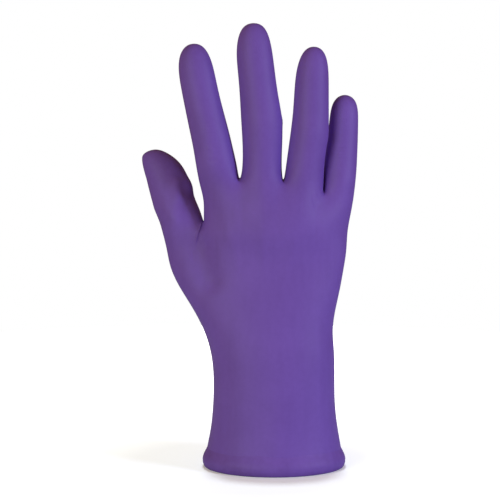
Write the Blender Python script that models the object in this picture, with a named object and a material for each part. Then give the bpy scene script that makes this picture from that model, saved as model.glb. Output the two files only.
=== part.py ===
"""Disposable nitrile glove for the right hand, standing upright on its rolled cuff.

The film is one smooth hand-shaped skin. It is cut into a rigid piece for each stretch that
stays straight when a hand bends inside it, and each cut lies on the crease where it bends.
Frame: +Z runs from the cuff to the fingertips, +Y is the palm side, -Y is the back of the
hand, and the thumb is on the -X side. All lengths below are in millimetres.
"""

import math
from collections import namedtuple

import bmesh
import bpy
from mathutils import Vector

MILLIMETRE = 0.001

# Film and rolled bead.
FILM_THICKNESS = 0.15
JOINT_GAP = 0.3
BEAD_HEIGHT = 5.6
BEAD_BULGE = 1.2
BEAD_WALL = 2.4
BEAD_FLAT = 1.2
BEAD_SIDES = 48
BEAD_ROUND_STEPS = 4
BEAD_SHARP_ANGLE = 50

# The cuff is an oval tube centred on this line.
CUFF_CENTRE_X = 13.7
CUFF_MOUTH_HALF_WIDTH = 37.6
CUFF_MOUTH_HALF_DEPTH = 28.2

# Heights of the level cuts across the wrist and the fingers.
WRIST_CUT = 75.0
FINGER_CUTS = {
    "index": (161.5, 186.0, 209.0),
    "middle": (161.5, 190.0, 215.0),
    "ring": (161.5, 184.5, 207.0),
    "little": (154.0, 172.0, 188.0),
}
HINGE_CLEARANCE = 0.2
PALM_DIRECTION = Vector((0, 1, 0))
THUMB_PAD_DIRECTION = Vector((0.25, 0.97, 0.0))

# The thumb's two cuts slope: each is a point on the plane and the plane's normal.
THUMB_BASE_CUT = (Vector((-26.2, 4.0, 136.4)), Vector((-0.80, 0.0, 0.60)))
THUMB_TIP_CUT = (Vector((-41.8, 14.2, 145.6)), Vector((-0.33, 0.22, 0.92)))

# A ring of the skin crosses the hand with these columns on its back and on its palm:
# 0 to 2 belong to the thumb, and 2-4, 4-6, 6-8 and 8-10 to the four fingers.
COLUMNS = 11
HAND = 0
DIGITS = {"index": 1, "middle": 2, "ring": 3, "little": 4, "thumb": 5}
DIGIT_LAYER = "digit"
THUMB_COLUMN = 2
FINGER_COLUMNS = {"index": 2, "middle": 4, "ring": 6, "little": 8}
OVAL_POWER = 2.4

# Level sections from the cuff's mouth to the ring where the thumb leaves the hand.
# back and palm are the depths at the thumb side, in the middle and at the little side.
Section = namedtuple("Section", "z left right left_y right_y back palm power")
HAND_SECTIONS = (
    Section(6.0, -23.9, 51.3, 0, 0, (28.2, 28.2, 28.2), (28.2, 28.2, 28.2), 2.0),
    Section(12.0, -22.6, 50.0, 0, 0, (27.0, 27.0, 27.0), (27.0, 27.0, 27.0), 2.0),
    Section(22.0, -20.5, 48.3, 0, 0, (25.8, 25.8, 25.8), (25.8, 25.8, 25.8), 2.0),
    Section(36.0, -19.4, 46.8, 0, 0, (25.0, 25.0, 25.0), (25.0, 25.0, 25.0), 2.1),
    Section(54.0, -19.2, 46.8, 0, 0, (24.2, 24.2, 24.2), (24.2, 24.2, 24.2), 2.1),
    Section(66.0, -21.2, 46.4, 0, 0, (22.6, 22.8, 22.8), (22.8, 23.0, 22.8), 2.2),
    Section(76.0, -24.6, 45.4, 0, 0, (20.0, 21.2, 20.4), (22.0, 22.0, 21.0), 2.2),
    Section(87.0, -30.2, 46.9, 1, 0, (16.0, 19.6, 17.0), (20.0, 20.5, 19.0), 2.3),
    Section(98.0, -37.6, 49.3, 4, 0, (12.5, 18.4, 14.5), (18.0, 18.6, 18.0), 2.3),
    Section(109.0, -43.4, 51.4, 6.5, 1, (10.5, 18.2, 12.5), (16.5, 16.0, 16.5), 2.4),
    Section(119.0, -45.0, 53.2, 8.5, 1, (10.0, 18.4, 11.5), (15.5, 13.5, 15.0), 2.4),
)

# Sections of the palm above the thumb. rise lifts the thumb side, drop lowers the little
# side, and scallop draws in the columns between two fingers.
PalmSection = namedtuple("PalmSection", "z left right back palm rise drop scallop")
PALM_SECTIONS = (
    PalmSection(129.0, -26.6, 54.2, (9.0, 17.6, 11.5), (11.5, 12.5, 14.0), 10.0, 0.0, 0.0),
    PalmSection(142.0, -25.3, 55.9, (9.5, 16.6, 11.0), (10.5, 12.0, 12.5), 5.0, 4.0, 0.6),
    PalmSection(155.6, -27.3, 57.6, (9.5, 14.2, 9.0), (10.5, 12.0, 10.5), 0.0, 8.6, 3.6),
)
PALM_CENTRE_Y = (0.0, 4.0)
THUMB_RISE = {2: 1.0, 3: 0.55, 4: 0.15}
LITTLE_DROP = {6: 0.1, 7: 0.45, 8: 0.95, 9: 1.0, 10: 1.0}
FINGER_EDGES = (-27.0, -4.6, 18.8, 40.2, 57.4)
WEB_Y = 2.0
THUMB_WEB = (-25.3, 5.0, 134.2)
THUMB_WEB_COLUMN_X = -26.4

# Rings of each finger from its root to its tip: height, centre x, centre y, half width
# and half depth.
FINGER_RINGS = {
    "index": (
        (164.5, -17.3, -0.6, 10.9, 9.6), (175.0, -19.4, -0.8, 10.5, 9.3),
        (186.0, -21.9, -0.8, 10.6, 9.4), (197.5, -24.7, -0.4, 10.0, 8.8),
        (209.0, -27.2, 0.2, 9.9, 8.5), (219.0, -28.8, 0.9, 9.5, 7.8),
        (226.6, -29.5, 1.5, 7.4, 6.2), (230.4, -29.5, 1.9, 3.8, 3.4),
    ),
    "middle": (
        (164.5, 7.1, -1.4, 10.4, 9.8), (177.0, 7.2, -1.8, 10.6, 9.6),
        (190.0, 7.0, -1.8, 11.3, 9.8), (203.0, 5.4, -1.4, 10.2, 9.0),
        (215.0, 4.1, -0.8, 10.0, 8.7), (227.0, 2.8, 0.0, 9.8, 8.1),
        (237.0, 2.4, 0.8, 7.9, 6.6), (241.4, 2.5, 1.2, 4.2, 3.6),
    ),
    "ring": (
        (164.5, 30.1, -0.8, 10.3, 9.4), (174.0, 31.4, -1.2, 10.2, 9.2),
        (184.5, 32.9, -1.4, 10.3, 9.4), (196.0, 33.4, -1.0, 9.5, 8.6),
        (207.0, 33.6, -0.4, 9.2, 8.3), (217.0, 34.1, 0.4, 8.7, 7.5),
        (225.0, 34.7, 1.2, 6.8, 5.9), (228.8, 34.8, 1.6, 3.5, 3.2),
    ),
    "little": (
        (156.5, 49.0, 4.2, 8.8, 8.6), (164.0, 49.5, 5.8, 9.0, 8.3),
        (172.0, 50.2, 7.2, 8.7, 8.1), (180.0, 50.9, 8.0, 8.3, 7.5),
        (188.0, 51.4, 8.4, 7.9, 7.2), (195.0, 51.8, 8.8, 7.5, 6.6),
        (200.0, 52.0, 9.2, 6.0, 5.2), (202.6, 52.1, 9.6, 3.2, 2.8),
    ),
}

# Rings of the thumb: centre, half width across the nail, half depth from nail to pad.
THUMB_RINGS = (
    ((-37.4, 10.0, 135.8), 11.6, 11.0),
    ((-41.8, 14.2, 145.6), 11.3, 10.2),
    ((-44.1, 17.2, 154.0), 11.3, 9.6),
    ((-47.0, 19.0, 161.5), 10.5, 8.8),
    ((-51.2, 20.2, 167.6), 8.3, 6.8),
    ((-54.7, 20.8, 171.7), 4.9, 3.8),
)
THUMB_DIRECTION = Vector((-0.33, 0.22, 0.92)).normalized()

TIP_CROWN = 1.3
SKIN_LEVELS = 1
MERGE_DISTANCE = 0.02

# Colours of the purple film: each piece is a slightly different tint.
FILM_COLOUR = (0.16, 0.075, 0.36)
FILM_ROUGHNESS = 0.5
BEAD_TINT = 1.15
PALM_TINT = 0.95
PIECE_TINTS = (0.9, 1.05, 1.2)


def clear_scene():
    """Remove every object that the file holds."""
    for old in list(bpy.data.objects):
        bpy.data.objects.remove(old, do_unlink=True)


def blend_three(values, across):
    """Quadratic through the values at across = -1, 0 and 1."""
    low, middle, high = values
    slope = (high - low) / 2
    bow = (high + low) / 2 - middle
    return middle + slope * across + bow * across * across


def oval_height(across, power):
    """Height of a rounded oval of half width 1 and half height 1."""
    inside = max(0.0, 1.0 - abs(across) ** power)
    return inside ** (1.0 / power)


def column_fraction(column):
    """Place of a column across a level section, from -1 to 1, on equal steps of angle."""
    return -math.cos(math.pi * (column + 1) / (COLUMNS + 1))


def limit_scale(sides):
    """How much wider a control ring is than the smooth ring it makes."""
    return 6.0 / (4.0 + 2.0 * math.cos(2.0 * math.pi / sides))


def hand_ring(section):
    """Points of one level section: back columns, little side, palm columns, thumb side."""
    grow = limit_scale(2 * COLUMNS + 2)
    centre = (section.left + section.right) / 2
    half = (section.right - section.left) / 2 * grow

    def point(column, side):
        across = column_fraction(column)
        middle_y = section.left_y + (section.right_y - section.left_y) * (across + 1) / 2
        depths = section.back if side < 0 else section.palm
        depth = blend_three(depths, across) * oval_height(across, section.power) * grow
        return Vector((centre + half * across, middle_y + side * depth, section.z))

    return {
        "back": {column: point(column, -1) for column in range(COLUMNS)},
        "palm": {column: point(column, 1) for column in range(COLUMNS)},
        "little_side": Vector((centre + half, section.right_y, section.z)),
        "thumb_side": Vector((centre - half, section.left_y, section.z)),
    }


def finger_column_x(column):
    """X of a column at the roots of the fingers."""
    edge = (column - THUMB_COLUMN) // 2
    if (column - THUMB_COLUMN) % 2 == 0:
        return FINGER_EDGES[edge]
    return (FINGER_EDGES[edge] + FINGER_EDGES[edge + 1]) / 2


def palm_ring(section):
    """Points of one section of the palm above the thumb, from column 2 to column 10."""
    centre = (section.left + section.right) / 2
    half = (section.right - section.left) / 2
    root_centre = (FINGER_EDGES[0] + FINGER_EDGES[-1]) / 2
    root_half = (FINGER_EDGES[-1] - FINGER_EDGES[0]) / 2
    corner = 0.94

    def height(column):
        rise = section.rise * THUMB_RISE.get(column, 0.0)
        drop = section.drop * LITTLE_DROP.get(column, 0.0)
        return section.z + rise - drop

    def point(column, side):
        across = (finger_column_x(column) - root_centre) / root_half
        across = max(-corner, min(corner, across))
        depths = section.back if side < 0 else section.palm
        depth = blend_three(depths, across) * oval_height(across, OVAL_POWER)
        if column in (4, 6, 8):
            depth -= section.scallop
        low, high = PALM_CENTRE_Y
        middle_y = low + (high - low) * max(0.0, across) ** 2
        return Vector((centre + half * across, middle_y + side * depth, height(column)))

    columns = range(THUMB_COLUMN, COLUMNS)
    return {
        "back": {column: point(column, -1) for column in columns},
        "palm": {column: point(column, 1) for column in columns},
        "little_side": Vector((section.right, PALM_CENTRE_Y[1], height(COLUMNS - 1))),
        "thumb_side": Vector((section.left, PALM_CENTRE_Y[0] + 1.0, height(THUMB_COLUMN))),
    }


def tube_ring(centre, across, back, half_width, half_depth):
    """Eight points round a finger: back left, back, back right, right, and so on round."""
    grow = limit_scale(8)
    points = []
    for step in range(8):
        angle = math.radians(135 - 45 * step)
        side = across * (math.cos(angle) * half_width * grow)
        rise = back * (math.sin(angle) * half_depth * grow)
        points.append(centre + side + rise)
    return points


def add_points(mesh, points):
    """Add a vertex for each point and return them in the same order."""
    return [mesh.verts.new(point) for point in points]


def ring_loop(ring, first):
    """The vertices of a ring in order, from its first back column round to the thumb side."""
    back = [ring["back"][column] for column in range(first, COLUMNS)]
    palm = [ring["palm"][column] for column in range(COLUMNS - 1, first - 1, -1)]
    return back + [ring["little_side"]] + palm + [ring["thumb_side"]]


def add_face(mesh, corners, digit):
    """Add a face and mark which digit it belongs to."""
    face = mesh.faces.new(corners)
    face[mesh.faces.layers.int[DIGIT_LAYER]] = digit
    return face


def bridge(mesh, lower, upper, digit=HAND):
    """Quads between two closed rings that have the same number of vertices."""
    count = len(lower)
    faces = []
    for index in range(count):
        following = (index + 1) % count
        corners = (lower[index], lower[following], upper[following], upper[index])
        faces.append(add_face(mesh, corners, digit))
    return faces


def cap(mesh, ring, centre, digit):
    """Close a ring of eight with four quads round one vertex."""
    for index in range(0, 8, 2):
        corners = (ring[index], ring[index + 1], ring[(index + 2) % 8], centre)
        add_face(mesh, corners, digit)


def ring_vertices(mesh, ring):
    """Vertices for the points of a section, with the same keys."""
    return {
        "back": {column: mesh.verts.new(point) for column, point in ring["back"].items()},
        "palm": {column: mesh.verts.new(point) for column, point in ring["palm"].items()},
        "little_side": mesh.verts.new(ring["little_side"]),
        "thumb_side": mesh.verts.new(ring["thumb_side"]),
    }


def add_finger(mesh, name, root):
    """Grow a finger from the eight vertices of its root."""
    across = Vector((1, 0, 0))
    back = Vector((0, -1, 0))
    lower = root
    for height, x, y, half_width, half_depth in FINGER_RINGS[name]:
        centre = Vector((x, y, height))
        upper = add_points(mesh, tube_ring(centre, across, back, half_width, half_depth))
        bridge(mesh, lower, upper, DIGITS[name])
        lower = upper
    tip = sum((vertex.co for vertex in lower), Vector()) / len(lower)
    cap(mesh, lower, mesh.verts.new(tip + Vector((0, 0, TIP_CROWN))), DIGITS[name])


def add_thumb(mesh, root):
    """Grow the thumb from the eight vertices of its root."""
    across = Vector((1, 0, 0))
    across = (across - THUMB_DIRECTION * across.dot(THUMB_DIRECTION)).normalized()
    back = across.cross(THUMB_DIRECTION)
    lower = root
    for centre, half_width, half_depth in THUMB_RINGS:
        points = tube_ring(Vector(centre), across, back, half_width, half_depth)
        upper = add_points(mesh, points)
        bridge(mesh, lower, upper, DIGITS["thumb"])
        lower = upper
    tip = sum((vertex.co for vertex in lower), Vector()) / len(lower)
    crown = mesh.verts.new(tip + THUMB_DIRECTION * TIP_CROWN)
    cap(mesh, lower, crown, DIGITS["thumb"])


def finger_root(ring, webs, column):
    """The eight vertices at the root of the finger whose first column is given."""
    left = webs.get(column, ring["thumb_side"])
    right = webs.get(column + 2, ring["little_side"])
    back = [ring["back"][column + step] for step in range(3)]
    palm = [ring["palm"][column + step] for step in (2, 1, 0)]
    return back + [right] + palm + [left]


def build_cage():
    """The control mesh of the whole glove, open at the cuff."""
    mesh = bmesh.new()
    digit_layer = mesh.faces.layers.int.new(DIGIT_LAYER)
    rings = [ring_vertices(mesh, hand_ring(section)) for section in HAND_SECTIONS]
    for lower, upper in zip(rings, rings[1:]):
        faces = bridge(mesh, ring_loop(lower, 0), ring_loop(upper, 0))
    # The thumb's base reaches down into the last band of the hand, on six faces.
    for index in (-4, -3, -2, -1, 0, 1):
        faces[index][digit_layer] = DIGITS["thumb"]

    split = rings[-1]
    thumb_web = mesh.verts.new(THUMB_WEB)
    for side in ("back", "palm"):
        for column, share in ((2, 0.62), (3, 0.3), (1, 0.2)):
            split[side][column].co.z += share * (THUMB_WEB[2] - HAND_SECTIONS[-1].z)
        split[side][2].co.x = THUMB_WEB_COLUMN_X
    thumb_root = [split["back"][column] for column in range(3)] + [thumb_web]
    thumb_root += [split["palm"][column] for column in (2, 1, 0)] + [split["thumb_side"]]
    add_thumb(mesh, thumb_root)

    lower = dict(split, thumb_side=thumb_web)
    for section in PALM_SECTIONS:
        upper = ring_vertices(mesh, palm_ring(section))
        bridge(mesh, ring_loop(lower, THUMB_COLUMN), ring_loop(upper, THUMB_COLUMN))
        lower = upper

    webs = {}
    for column in (4, 6, 8):
        corner = lower["back"][column].co
        webs[column] = mesh.verts.new((corner.x, WEB_Y, corner.z))
    for name, column in FINGER_COLUMNS.items():
        add_finger(mesh, name, finger_root(lower, webs, column))
    return mesh


def smooth_skin():
    """The smooth outer surface of the glove as a bmesh, in millimetres."""
    cage = build_cage()
    bmesh.ops.recalc_face_normals(cage, faces=cage.faces)
    data = bpy.data.meshes.new("glove_skin")
    cage.to_mesh(data)
    cage.free()
    holder = bpy.data.objects.new("glove_skin", data)
    bpy.context.scene.collection.objects.link(holder)
    subdivision = holder.modifiers.new("Smooth skin", "SUBSURF")
    subdivision.levels = SKIN_LEVELS
    subdivision.render_levels = SKIN_LEVELS
    evaluated = holder.evaluated_get(bpy.context.evaluated_depsgraph_get())
    skin = bmesh.new()
    skin.from_mesh(evaluated.to_mesh())
    evaluated.to_mesh_clear()
    bpy.data.objects.remove(holder, do_unlink=True)
    bpy.data.meshes.remove(data)
    return skin


def split_skin(skin, digit, point, normal, keep_outside):
    """Cut one digit of the skin with a plane, half a joint gap to the kept side of it."""
    layer = skin.faces.layers.int[DIGIT_LAYER]
    faces = [face for face in skin.faces if digit is None or face[layer] == digit]
    edges = {edge for face in faces for edge in face.edges}
    vertices = {vertex for face in faces for vertex in face.verts}
    shift = JOINT_GAP / 2 if keep_outside else -JOINT_GAP / 2
    bmesh.ops.bisect_plane(
        skin,
        geom=list(vertices) + list(edges) + faces,
        plane_co=point + normal * shift,
        plane_no=normal,
        clear_inner=keep_outside,
        clear_outer=not keep_outside,
    )


def digit_piece(skin, name, lower, upper):
    """The skin of one digit between two cuts; upper is None at the fingertip."""
    piece = skin.copy()
    layer = piece.faces.layers.int[DIGIT_LAYER]
    others = [face for face in piece.faces if face[layer] != DIGITS[name]]
    bmesh.ops.delete(piece, geom=others, context="FACES")
    split_skin(piece, DIGITS[name], *lower, keep_outside=True)
    if upper is not None:
        split_skin(piece, DIGITS[name], *upper, keep_outside=False)
    return piece


def level_cut(height):
    """A level plane at the given height."""
    return Vector((0, 0, height)), Vector((0, 0, 1))


def hand_piece(skin, above_wrist):
    """The palm between the wrist and the roots of the digits, or the cuff below it."""
    piece = skin.copy()
    if not above_wrist:
        split_skin(piece, None, *level_cut(WRIST_CUT), keep_outside=False)
        return piece
    split_skin(piece, None, *level_cut(WRIST_CUT), keep_outside=True)
    for name, cuts in FINGER_CUTS.items():
        split_skin(piece, DIGITS[name], *level_cut(cuts[0]), keep_outside=False)
    point, normal = THUMB_BASE_CUT
    split_skin(piece, DIGITS["thumb"], point, normal.normalized(), keep_outside=False)
    return piece


def edge_point(piece, cut, towards):
    """The point of a cut edge that lies furthest along a direction, just clear of it."""
    point, normal = cut
    near = [v.co for v in piece.verts if abs((v.co - point).dot(normal)) < JOINT_GAP]
    reach = max(position.dot(towards) for position in near)
    centre = sum(near, Vector()) / len(near)
    hinge = centre + towards * (reach - centre.dot(towards) + HINGE_CLEARANCE)
    return hinge - normal * (hinge - point).dot(normal)


def film_material(name, tint):
    """Satin nitrile film, a little lighter or darker than its neighbour."""
    material = bpy.data.materials.new(name)
    material.use_nodes = True
    shader = material.node_tree.nodes["Principled BSDF"]
    colour = [channel * tint for channel in FILM_COLOUR]
    shader.inputs["Base Color"].default_value = (*colour, 1.0)
    shader.inputs["Roughness"].default_value = FILM_ROUGHNESS
    shader.inputs["Metallic"].default_value = 0.0
    material.diffuse_color = (*colour, 1.0)
    return material


def add_object(name, mesh, origin, tint):
    """Make a named object from a mesh in millimetres, with its origin where it turns."""
    bmesh.ops.remove_doubles(mesh, verts=mesh.verts, dist=MERGE_DISTANCE)
    bmesh.ops.translate(mesh, verts=mesh.verts, vec=-origin)
    bmesh.ops.scale(mesh, verts=mesh.verts, vec=Vector((MILLIMETRE,) * 3))
    data = bpy.data.meshes.new(name)
    mesh.to_mesh(data)
    mesh.free()
    data.shade_smooth()
    data.materials.append(film_material(name, tint))
    result = bpy.data.objects.new(name, data)
    result.location = origin * MILLIMETRE
    bpy.context.scene.collection.objects.link(result)
    return result


def add_film(name, mesh, origin, tint):
    """A piece of the skin with the film's thickness, added on its inner side."""
    result = add_object(name, mesh, origin, tint)
    film = result.modifiers.new("Film", "SOLIDIFY")
    film.thickness = FILM_THICKNESS * MILLIMETRE
    film.offset = -1.0
    film.use_even_offset = True
    film.use_rim = True
    return result


def bead_profile():
    """Section of the rolled bead: two half ovals with a flat top and a flat foot."""
    half_height = BEAD_HEIGHT / 2
    half_flat = BEAD_FLAT / 2
    corner = BEAD_WALL / 2 - half_flat
    points = []
    for side in (1, -1):
        for step in range(BEAD_ROUND_STEPS + 1):
            angle = math.radians(-90 + 180 * step / BEAD_ROUND_STEPS) * side
            offset = side * (half_flat + corner * math.cos(angle))
            points.append((offset, half_height * (1 + math.sin(angle))))
    return points


def add_bead():
    """The rolled bead at the cuff's mouth, swept round the oval of the mouth."""
    half_width = CUFF_MOUTH_HALF_WIDTH + BEAD_BULGE - BEAD_WALL / 2
    half_depth = CUFF_MOUTH_HALF_DEPTH + BEAD_BULGE - BEAD_WALL / 2
    mesh = bmesh.new()
    loops = []
    for step in range(BEAD_SIDES):
        angle = 2 * math.pi * step / BEAD_SIDES
        outward = Vector((math.cos(angle) / half_width, math.sin(angle) / half_depth, 0))
        outward.normalize()
        place = Vector((half_width * math.cos(angle), half_depth * math.sin(angle), 0))
        place.x += CUFF_CENTRE_X
        points = [place + outward * out + Vector((0, 0, up)) for out, up in bead_profile()]
        loops.append(add_points(mesh, points))
    for step in range(BEAD_SIDES):
        upper = loops[(step + 1) % BEAD_SIDES]
        for index, vertex in enumerate(loops[step]):
            following = (index + 1) % len(upper)
            mesh.faces.new((vertex, upper[index], upper[following], loops[step][following]))
    bmesh.ops.recalc_face_normals(mesh, faces=mesh.faces)
    bead = add_object("cuff_bead", mesh, Vector((CUFF_CENTRE_X, 0, 0)), BEAD_TINT)
    bead.data.set_sharp_from_angle(angle=math.radians(BEAD_SHARP_ANGLE))


def add_digit(skin, name, cuts, towards, parts):
    """The pieces of one digit, each with its origin on the crease where it bends."""
    for index, part in enumerate(parts):
        upper = cuts[index + 1] if index + 1 < len(cuts) else None
        piece = digit_piece(skin, name, cuts[index], upper)
        normal = cuts[index][1]
        pad = (towards - normal * towards.dot(normal)).normalized()
        origin = edge_point(piece, cuts[index], pad)
        add_film(part, piece, origin, PIECE_TINTS[index])


def main():
    clear_scene()
    skin = smooth_skin()
    add_bead()
    add_film("cuff", hand_piece(skin, False), Vector((CUFF_CENTRE_X, 0, 0)), PALM_TINT)
    palm = hand_piece(skin, True)
    wrist = edge_point(palm, level_cut(WRIST_CUT), PALM_DIRECTION)
    add_film("palm", palm, wrist, 1.0)
    for name, heights in FINGER_CUTS.items():
        cuts = [level_cut(height) for height in heights]
        parts = [f"{name}_finger_{part}" for part in ("base", "middle", "tip")]
        add_digit(skin, name, cuts, PALM_DIRECTION, parts)
    cuts = [(point, normal.normalized()) for point, normal in (THUMB_BASE_CUT, THUMB_TIP_CUT)]
    add_digit(skin, "thumb", cuts, THUMB_PAD_DIRECTION, ["thumb_base", "thumb_tip"])
    skin.free()


main()
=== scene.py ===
"""Looks of a disposable nitrile glove that stands upright on its rolled cuff.

The CAD model cuts the glove into rigid pieces at every crease. Here the film is one smooth
skin again, with the folds, knuckles, pads and creases of a worn glove. The skin is shared out
between pieces that reach across one joint each. Each lists the bodies and the span of a bend
across its joint, but this script doesn't apply the bends. A seam between two pieces always
lies where both of them are listed to follow the same body.
Frame: +Z runs from the cuff to the fingertips, +Y is the palm side, -Y is the back of the
hand, and the thumb is on the -X side. Lengths are in millimetres until an object is made.
"""

import math
from collections import namedtuple

import bmesh
import bpy
import numpy as np
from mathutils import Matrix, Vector, noise
from mathutils.bvhtree import BVHTree


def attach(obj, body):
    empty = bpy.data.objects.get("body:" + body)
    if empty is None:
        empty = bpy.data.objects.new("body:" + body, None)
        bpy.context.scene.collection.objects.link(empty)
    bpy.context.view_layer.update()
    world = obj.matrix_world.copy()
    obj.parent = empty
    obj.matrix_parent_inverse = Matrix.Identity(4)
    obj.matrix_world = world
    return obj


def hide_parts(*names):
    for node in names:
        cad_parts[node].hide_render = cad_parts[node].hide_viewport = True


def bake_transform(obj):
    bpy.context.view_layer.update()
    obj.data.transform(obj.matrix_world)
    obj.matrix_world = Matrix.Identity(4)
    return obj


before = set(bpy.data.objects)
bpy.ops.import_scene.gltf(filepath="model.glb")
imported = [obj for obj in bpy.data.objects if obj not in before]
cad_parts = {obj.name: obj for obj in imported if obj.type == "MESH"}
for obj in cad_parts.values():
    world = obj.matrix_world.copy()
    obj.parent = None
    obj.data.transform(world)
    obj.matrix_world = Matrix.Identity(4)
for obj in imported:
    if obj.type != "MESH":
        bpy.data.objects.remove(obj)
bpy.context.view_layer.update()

MILLIMETRE = 0.001

# Film, and the oval of the cuff's mouth.
FILM_THICKNESS = 0.15
CUFF_CENTRE_X = 13.7
CUFF_MOUTH_HALF_WIDTH = 37.6
CUFF_MOUTH_HALF_DEPTH = 28.2

# Heights of the creases where the fingers bend, and the two sloping creases of the thumb.
FINGER_CREASES = {
    "index": (161.5, 186, 209),
    "middle": (161.5, 190, 215),
    "ring": (161.5, 184.5, 207),
    "little": (154, 172, 188),
}
THUMB_ROOT = (Vector((-26.2, 4, 136.4)), Vector((-0.80, 0, 0.60)).normalized())
THUMB_DIRECTION = Vector((-0.33, 0.22, 0.92)).normalized()
THUMB_KNUCKLE = (Vector((-41.8, 14.2, 145.6)), THUMB_DIRECTION)

# A ring of the skin crosses the hand with these columns on its back and on its palm:
# 0 to 2 belong to the thumb, and 2-4, 4-6, 6-8 and 8-10 to the four fingers.
COLUMNS = 11
HAND = 0
DIGITS = {"index": 1, "middle": 2, "ring": 3, "little": 4, "thumb": 5}
DIGIT_LAYER = "digit"
THUMB_COLUMN = 2
FINGER_COLUMNS = {"index": 2, "middle": 4, "ring": 6, "little": 8}
BETWEEN_FINGERS = (4, 6, 8)
OVAL_POWER = 2.4

# Level sections from inside the bead to the ring where the thumb leaves the hand.
# back and palm are the depths at the thumb side, in the middle and at the little side.
Section = namedtuple("Section", "z left right left_y right_y back palm power")
HAND_SECTIONS = (
    Section(3, -23.9, 51.3, 0, 0, (28.2, 28.2, 28.2), (28.2, 28.2, 28.2), 2),
    Section(6, -23.9, 51.3, 0, 0, (28.2, 28.2, 28.2), (28.2, 28.2, 28.2), 2),
    Section(12, -22.6, 50, 0, 0, (27, 27, 27), (27, 27, 27), 2),
    Section(22, -20.5, 48.3, 0, 0, (25.8, 25.8, 25.8), (25.8, 25.8, 25.8), 2),
    Section(36, -19.4, 46.8, 0, 0, (25, 25, 25), (25, 25, 25), 2.1),
    Section(54, -19.2, 46.8, 0, 0, (24.2, 24.2, 24.2), (24.2, 24.2, 24.2), 2.1),
    Section(66, -21.2, 46.4, 0, 0, (22.6, 22.8, 22.8), (22.8, 23, 22.8), 2.2),
    Section(76, -24.6, 45.4, 0, 0, (20, 21.2, 20.4), (22, 22, 21), 2.2),
    Section(87, -30.2, 46.9, 1, 0, (16, 19.6, 17), (20, 20.5, 19), 2.3),
    Section(98, -37.6, 49.3, 4, 0, (12.5, 18.4, 14.5), (18, 18.6, 18), 2.3),
    Section(109, -43.4, 51.4, 6.5, 1, (10.5, 18.2, 12.5), (16.5, 16, 16.5), 2.4),
    Section(119, -45, 53.2, 8.5, 1, (10, 18.4, 11.5), (15.5, 13.5, 15), 2.4),
)

# Sections of the palm above the thumb. rise lifts the thumb side, drop lowers the little
# side, and scallop draws in the columns between two fingers. No column of them lies further
# across than PALM_CORNER, so that the palm's sides keep some depth.
PalmSection = namedtuple("PalmSection", "z left right back palm rise drop scallop")
PALM_SECTIONS = (
    PalmSection(129, -25.4, 54.2, (9, 17.6, 11.5), (11.5, 12.5, 14), 10, 0, 0),
    PalmSection(142, -25.2, 55.9, (9.5, 16.6, 11), (10.5, 12, 12.5), 5, 4, 0.6),
    PalmSection(155.6, -27.9, 57.6, (9.5, 14.2, 9), (10.5, 12, 10.5), 0, 8.6, 3.6),
)
PALM_CENTRE_Y = (0, 4)
PALM_THUMB_SIDE_Y = 1.0
PALM_CORNER = 0.94
# The share of rise and of drop that each column takes.
THUMB_RISE = {2: 1, 3: 0.55, 4: 0.15}
LITTLE_DROP = {6: 0.1, 7: 0.45, 8: 0.95, 9: 1, 10: 1.0}
# X of the sides of the fingers at their roots, and Y of the webs between them.
FINGER_EDGES = (-27, -4.6, 18.8, 40.2, 57.4)
WEB_Y = 2.0

# The web of the thumb: its middle, how far towards its height the columns round it rise, and
# the faces of the band below that belong to the thumb, counted from the first back column.
THUMB_WEB = (-24.2, 5, 134.4)
THUMB_WEB_COLUMN_X = -25.2
THUMB_WEB_LIFT = {1: 0.2, 2: 0.62, 3: 0.3}
THUMB_BASE_FACES = (-4, -3, -2, -1, 0, 1)

# Rings of each finger from its root to its tip: height, centre x, centre y, half width
# and half depth.
FINGER_RINGS = {
    "index": (
        (164.5, -17.4, -0.6, 11.1, 9.6), (175, -19.4, -0.8, 10.6, 9.3),
        (186, -21.9, -0.8, 10.6, 9.4), (197.5, -24.7, -0.4, 10, 8.8),
        (209, -27.2, 0.2, 9.9, 8.5), (219, -28.8, 0.9, 9.5, 7.8),
        (226.6, -29.5, 1.5, 7.4, 6.2), (230.4, -29.5, 1.9, 3.8, 3.4),
    ),
    "middle": (
        (164.5, 7.1, -1.4, 10.4, 9.8), (177, 7.2, -1.8, 10.6, 9.6),
        (190, 7, -1.8, 11.3, 9.8), (203, 5.4, -1.4, 10.2, 9),
        (215, 4.1, -0.8, 10, 8.7), (227, 2.8, 0, 9.8, 8.1),
        (237, 2.4, 0.8, 7.9, 6.6), (241.4, 2.5, 1.2, 4.2, 3.6),
    ),
    "ring": (
        (164.5, 30.1, -0.8, 10.3, 9.4), (174, 31.4, -1.2, 10.2, 9.2),
        (184.5, 32.9, -1.4, 10.3, 9.4), (196, 33.4, -1, 9.5, 8.6),
        (207, 33.6, -0.4, 9.2, 8.3), (217, 34.1, 0.4, 8.7, 7.5),
        (225, 34.7, 1.2, 6.8, 5.9), (228.8, 34.8, 1.6, 3.5, 3.2),
    ),
    "little": (
        (156.5, 49, 4.2, 8.8, 8.6), (164, 49.5, 5.8, 9, 8.3),
        (172, 50.2, 7.2, 8.7, 8.1), (180, 50.9, 8, 8.3, 7.5),
        (188, 51.4, 8.4, 7.9, 7.2), (195, 51.8, 8.8, 7.5, 6.6),
        (200, 52, 9.2, 6, 5.2), (202.6, 52.1, 9.6, 3.2, 2.8),
    ),
}

# Rings of the thumb: centre, half width across the nail, half depth from nail to pad.
THUMB_RINGS = (
    ((-37.4, 10, 135.8), 11.6, 11),
    ((-41.8, 14.2, 145.6), 11.3, 10.2),
    ((-44.1, 17.2, 154), 11.3, 9.6),
    ((-47, 19, 161.5), 10.5, 8.8),
    ((-51.2, 20.2, 167.6), 8.3, 6.8),
    ((-54.7, 20.8, 171.7), 4.9, 3.8),
)

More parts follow.
